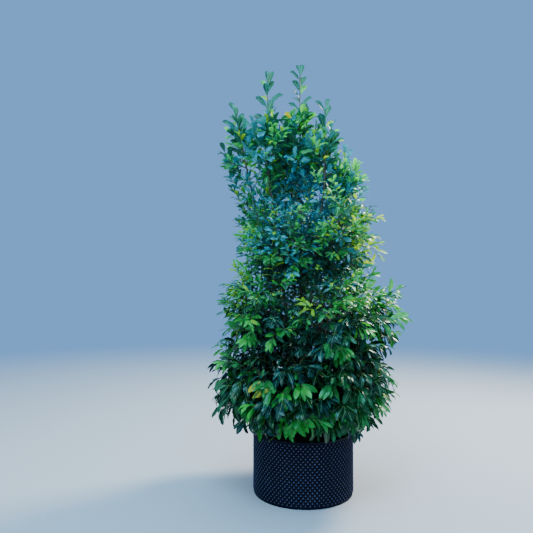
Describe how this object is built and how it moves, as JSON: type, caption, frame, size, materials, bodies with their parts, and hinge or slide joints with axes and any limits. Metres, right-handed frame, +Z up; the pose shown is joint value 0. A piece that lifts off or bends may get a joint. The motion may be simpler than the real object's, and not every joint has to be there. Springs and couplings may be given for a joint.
{
  "type": "potted cherry laurel",
  "caption": "Tall bushy cherry laurel with several stems and glossy evergreen leaves, dense below and open at the top, standing in a round black dimpled nursery pot.",
  "frame": {"origin": "centre of the pot's flat underside, which stands on the ground", "axes": "+Z up along the pot's axis, -Y towards the front, the side that the picture shows, +X to its right"},
  "size_m": [1.4859, 1.3976, 3.2586],
  "materials": {
    "pot_plastic": "satin",
    "compost": "matte",
    "bark": "matte",
    "leaf_dark": "satin",
    "leaf_light": "satin"
  },
  "bodies": {
    "root": {"pot": "pot_plastic", "compost": "compost", "stool": "bark", "stem_1": "bark", "stem_2": "bark", "stem_3": "bark", "stem_4": "bark", "stem_5": "bark", "stem_6": "bark", "bough_skirt_1": "bark", "bough_skirt_2": "bark", "bough_skirt_3": "bark", "bough_skirt_4": "bark", "bough_skirt_5": "bark", "bough_skirt_6": "bark", "bough_waist_1": "bark", "bough_waist_2": "bark", "bough_waist_3": "bark", "bough_waist_4": "bark", "bough_waist_5": "bark", "bough_shoulder_1": "bark", "bough_shoulder_2": "bark", "bough_shoulder_3": "bark", "bough_shoulder_4": "bark", "leaves_skirt_1": "leaf_dark", "leaves_skirt_2": "leaf_dark", "leaves_skirt_3": "leaf_dark", "leaves_skirt_4": "leaf_dark", "leaves_skirt_5": "leaf_dark", "leaves_skirt_6": "leaf_dark", "leaves_waist_1": "leaf_dark", "leaves_waist_2": "leaf_dark", "leaves_waist_3": "leaf_dark", "leaves_waist_4": "leaf_dark", "leaves_waist_5": "leaf_dark", "leaves_shoulder_1": "leaf_dark", "leaves_shoulder_2": "leaf_dark", "leaves_shoulder_3": "leaf_dark", "leaves_shoulder_4": "leaf_dark", "leaves_crest_1": "leaf_light", "leaves_crest_2": "leaf_light", "leaves_crest_3": "leaf_light", "leaves_crest_4": "leaf_light", "leaves_crest_5": "leaf_light", "leaves_crest_6": "leaf_light"}
  },
  "joints": []
}
